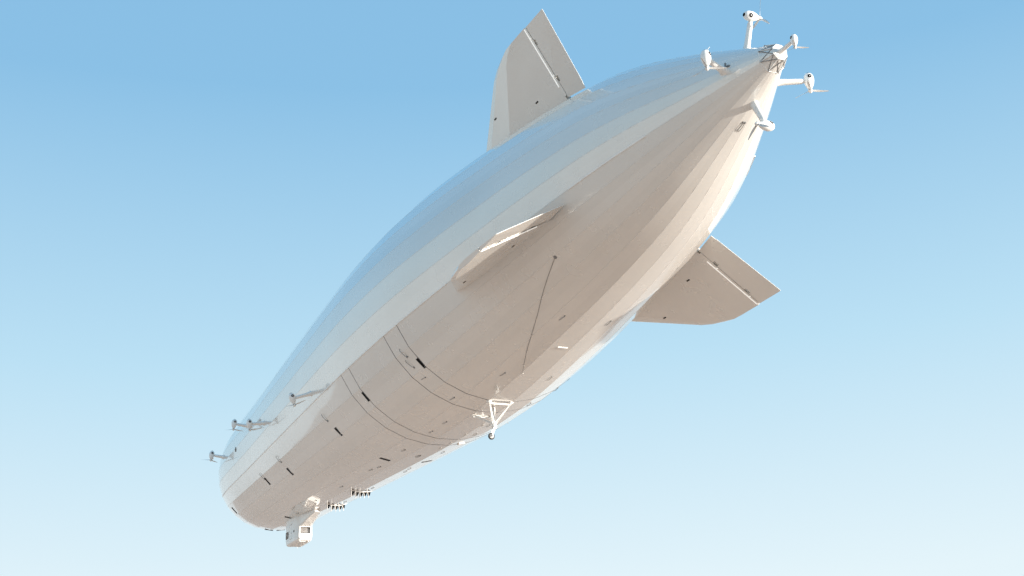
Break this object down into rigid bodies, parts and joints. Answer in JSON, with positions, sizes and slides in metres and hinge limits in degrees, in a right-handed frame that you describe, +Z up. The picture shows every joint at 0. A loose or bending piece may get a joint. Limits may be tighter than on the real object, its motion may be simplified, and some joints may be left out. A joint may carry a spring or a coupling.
{
  "type": "rigid airship scale model",
  "caption": "One-tenth scale rigid airship with a faceted light hull, finned tail, swivelling motor pods with propellers, hollow gondola and castoring rear wheel.",
  "frame": {"origin": "on the hull's long axis beneath the centre of buoyancy, where the air carries the model", "axes": "+X toward the nose, +Y to port, +Z up"},
  "size_m": [12.4011, 2.3356, 2.3517],
  "materials": {
    "envelope": "glossy white laminate",
    "structure": "white paint",
    "pylon": "white paint",
    "nacelle": "gloss white",
    "propeller": "grey composite",
    "glazing": "tinted",
    "interior": "grey",
    "tyre": "rubber"
  },
  "bodies": {
    "hull": {"hull_envelope": "envelope", "nose_mooring_cone": "structure", "tail_cone": "envelope", "fin_lower_port": "envelope", "fin_lower_starboard": "envelope", "fin_upper_port": "envelope", "fin_upper_starboard": "envelope", "pylon_port_1": "pylon", "pylon_port_2": "pylon", "pylon_port_3": "pylon", "pylon_port_4": "pylon", "pylon_starboard_1": "pylon", "pylon_starboard_2": "pylon", "pylon_starboard_3": "pylon", "pylon_starboard_4": "pylon", "gondola_shell": "structure", "gondola_glazing": "glazing", "gondola_interior": "interior", "gear_frame": "pylon"},
    "control_surface_lower_port": {"control_surface_lower_port": "envelope"},
    "control_surface_lower_starboard": {"control_surface_lower_starboard": "envelope"},
    "control_surface_upper_port": {"control_surface_upper_port": "envelope"},
    "control_surface_upper_starboard": {"control_surface_upper_starboard": "envelope"},
    "pod_port_1": {"pod_port_1": "nacelle"},
    "propeller_port_1": {"propeller_port_1": "propeller"},
    "pod_port_2": {"pod_port_2": "nacelle"},
    "propeller_port_2": {"propeller_port_2": "propeller"},
    "pod_port_3": {"pod_port_3": "nacelle"},
    "propeller_port_3": {"propeller_port_3": "propeller"},
    "pod_port_4": {"pod_port_4": "nacelle"},
    "propeller_port_4": {"propeller_port_4": "propeller"},
    "pod_starboard_1": {"pod_starboard_1": "nacelle"},
    "propeller_starboard_1": {"propeller_starboard_1": "propeller"},
    "pod_starboard_2": {"pod_starboard_2": "nacelle"},
    "propeller_starboard_2": {"propeller_starboard_2": "propeller"},
    "pod_starboard_3": {"pod_starboard_3": "nacelle"},
    "propeller_starboard_3": {"propeller_starboard_3": "propeller"},
    "pod_starboard_4": {"pod_starboard_4": "nacelle"},
    "propeller_starboard_4": {"propeller_starboard_4": "propeller"},
    "pod_tail_top": {"pod_tail_top": "nacelle"},
    "propeller_tail_top": {"propeller_tail_top": "propeller"},
    "pod_tail_port": {"pod_tail_port": "nacelle"},
    "propeller_tail_port": {"propeller_tail_port": "propeller"},
    "pod_tail_bottom": {"pod_tail_bottom": "nacelle"},
    "propeller_tail_bottom": {"propeller_tail_bottom": "propeller"},
    "pod_tail_starboard": {"pod_tail_starboard": "nacelle"},
    "propeller_tail_starboard": {"propeller_tail_starboard": "propeller"},
    "pod_stern": {"pod_stern": "nacelle"},
    "propeller_stern": {"propeller_stern": "propeller"},
    "gondola_door": {"gondola_door": "structure"},
    "gear_castor": {"gear_castor": "pylon"},
    "gear_wheel": {"gear_wheel": "tyre"}
  },
  "joints": [
    {"name": "hinge_lower_port", "type": "hinge", "parent": "hull", "child": "control_surface_lower_port", "pos_m": [-4.76, 0.87469, -0.505], "axis": [0, 0.866, -0.5], "range_deg": [-25, 25]},
    {"name": "hinge_lower_starboard", "type": "hinge", "parent": "hull", "child": "control_surface_lower_starboard", "pos_m": [-4.76, -0.80662, -0.60783], "axis": [0, -0.7986, -0.6018], "range_deg": [-25, 25]},
    {"name": "hinge_upper_port", "type": "hinge", "parent": "hull", "child": "control_surface_upper_port", "pos_m": [-4.76, 0.53522, 0.85653], "axis": [0, 0.5299, 0.848], "range_deg": [-25, 25]},
    {"name": "hinge_upper_starboard", "type": "hinge", "parent": "hull", "child": "control_surface_upper_starboard", "pos_m": [-4.76, -0.53522, 0.85653], "axis": [0, -0.5299, 0.848], "range_deg": [-25, 25]},
    {"name": "swivel_port_1", "type": "hinge", "parent": "hull", "child": "pod_port_1", "pos_m": [-0.28, 1.08032, -0.37198], "axis": [0, 0.9455, -0.3256], "range_deg": [-180, 180]},
    {"name": "spin_port_1", "type": "hinge", "parent": "pod_port_1", "child": "propeller_port_1", "pos_m": [-0.28, 1.05981, -0.43155], "axis": [0, -0.3256, -0.9455], "continuous": true},
    {"name": "swivel_port_2", "type": "hinge", "parent": "hull", "child": "pod_port_2", "pos_m": [1.59, 1.02725, -0.12613], "axis": [0, 0.9925, -0.1219], "range_deg": [-180, 180]},
    {"name": "spin_port_2", "type": "hinge", "parent": "pod_port_2", "child": "propeller_port_2", "pos_m": [1.59, 1.01957, -0.18866], "axis": [0, -0.1219, -0.9925], "continuous": true},
    {"name": "swivel_port_3", "type": "hinge", "parent": "hull", "child": "pod_port_3", "pos_m": [2.46, 0.99075, 0.10413], "axis": [0, 0.9945, 0.1045], "range_deg": [-180, 180]},
    {"name": "spin_port_3", "type": "hinge", "parent": "pod_port_3", "child": "propeller_port_3", "pos_m": [2.46, 0.99733, 0.04148], "axis": [0, 0.1045, -0.9945], "continuous": true},
    {"name": "swivel_port_4", "type": "hinge", "parent": "hull", "child": "pod_port_4", "pos_m": [3.99, 0.90818, 0.11151], "axis": [0, 0.9925, 0.1219], "range_deg": [-180, 180]},
    {"name": "spin_port_4", "type": "hinge", "parent": "pod_port_4", "child": "propeller_port_4", "pos_m": [3.99, 0.91586, 0.04898], "axis": [0, 0.1219, -0.9925], "continuous": true},
    {"name": "swivel_starboard_1", "type": "hinge", "parent": "hull", "child": "pod_starboard_1", "pos_m": [-0.28, -1.08032, -0.37198], "axis": [0, -0.9455, -0.3256], "range_deg": [-180, 180]},
    {"name": "spin_starboard_1", "type": "hinge", "parent": "pod_starboard_1", "child": "propeller_starboard_1", "pos_m": [-0.28, -1.05981, -0.43155], "axis": [0, 0.3256, -0.9455], "continuous": true},
    {"name": "swivel_starboard_2", "type": "hinge", "parent": "hull", "child": "pod_starboard_2", "pos_m": [1.59, -1.02725, -0.12613], "axis": [0, -0.9925, -0.1219], "range_deg": [-180, 180]},
    {"name": "spin_starboard_2", "type": "hinge", "parent": "pod_starboard_2", "child": "propeller_starboard_2", "pos_m": [1.59, -1.01957, -0.18866], "axis": [0, 0.1219, -0.9925], "continuous": true},
    {"name": "swivel_starboard_3", "type": "hinge", "parent": "hull", "child": "pod_starboard_3", "pos_m": [2.46, -0.99075, 0.10413], "axis": [0, -0.9945, 0.1045], "range_deg": [-180, 180]},
    {"name": "spin_starboard_3", "type": "hinge", "parent": "pod_starboard_3", "child": "propeller_starboard_3", "pos_m": [2.46, -0.99733, 0.04148], "axis": [0, -0.1045, -0.9945], "continuous": true},
    {"name": "swivel_starboard_4", "type": "hinge", "parent": "hull", "child": "pod_starboard_4", "pos_m": [3.99, -0.90818, 0.11151], "axis": [0, -0.9925, 0.1219], "range_deg": [-180, 180]},
    {"name": "spin_starboard_4", "type": "hinge", "parent": "pod_starboard_4", "child": "propeller_starboard_4", "pos_m": [3.99, -0.91586, 0.04898], "axis": [0, -0.1219, -0.9925], "continuous": true},
    {"name": "swivel_tail_top", "type": "hinge", "parent": "hull", "child": "pod_tail_top", "pos_m": [-6.35452, 0, 0.36886], "axis": [-0.4226, 0, 0.9063], "range_deg": [-180, 180]},
    {"name": "spin_tail_top", "type": "hinge", "parent": "pod_tail_top", "child": "propeller_tail_top", "pos_m": [-6.35452, -0.063, 0.36886], "axis": [0, -1, 0], "continuous": true},
    {"name": "swivel_tail_port", "type": "hinge", "parent": "hull", "child": "pod_tail_port", "pos_m": [-6.35452, 0.36886, 0], "axis": [-0.4226, 0.9063, 0], "range_deg": [-180, 180]},
    {"name": "spin_tail_port", "type": "hinge", "parent": "pod_tail_port", "child": "propeller_tail_port", "pos_m": [-6.35452, 0.36886, -0.063], "axis": [0, 0, -1], "continuous": true},
    {"name": "swivel_tail_bottom", "type": "hinge", "parent": "hull", "child": "pod_tail_bottom", "pos_m": [-6.35452, 0, -0.36886], "axis": [-0.4226, 0, -0.9063], "range_deg": [-180, 180]},
    {"name": "spin_tail_bottom", "type": "hinge", "parent": "pod_tail_bottom", "child": "propeller_tail_bottom", "pos_m": [-6.35452, 0.063, -0.36886], "axis": [0, 1, 0], "continuous": true},
    {"name": "swivel_tail_starboard", "type": "hinge", "parent": "hull", "child": "pod_tail_starboard", "pos_m": [-6.35452, -0.36886, 0], "axis": [-0.4226, -0.9063, 0], "range_deg": [-180, 180]},
    {"name": "spin_tail_starboard", "type": "hinge", "parent": "pod_tail_starboard", "child": "propeller_tail_starboard", "pos_m": [-6.35452, -0.36886, -0.063], "axis": [0, 0, -1], "continuous": true},
    {"name": "swivel_stern", "type": "hinge", "parent": "hull", "child": "pod_stern", "pos_m": [-6.7, 0, 0], "axis": [-1, 0, 0], "range_deg": [-180, 180]},
    {"name": "spin_stern", "type": "hinge", "parent": "pod_stern", "child": "propeller_stern", "pos_m": [-6.7, 0, -0.0441], "axis": [0, 0, -1], "continuous": true},
    {"name": "door_hinge", "type": "hinge", "parent": "hull", "child": "gondola_door", "pos_m": [3.29, 0.1, -0.956], "axis": [0, 0, -1], "range_deg": [0, 100]},
    {"name": "castor_swivel", "type": "hinge", "parent": "hull", "child": "gear_castor", "pos_m": [-2.42, 0, -1.12579], "axis": [0, 0, 1], "continuous": true},
    {"name": "wheel_spin", "type": "hinge", "parent": "gear_castor", "child": "gear_wheel", "pos_m": [-2.42, 0.03, -1.21579], "axis": [1, 0, 0], "continuous": true}
  ]
}
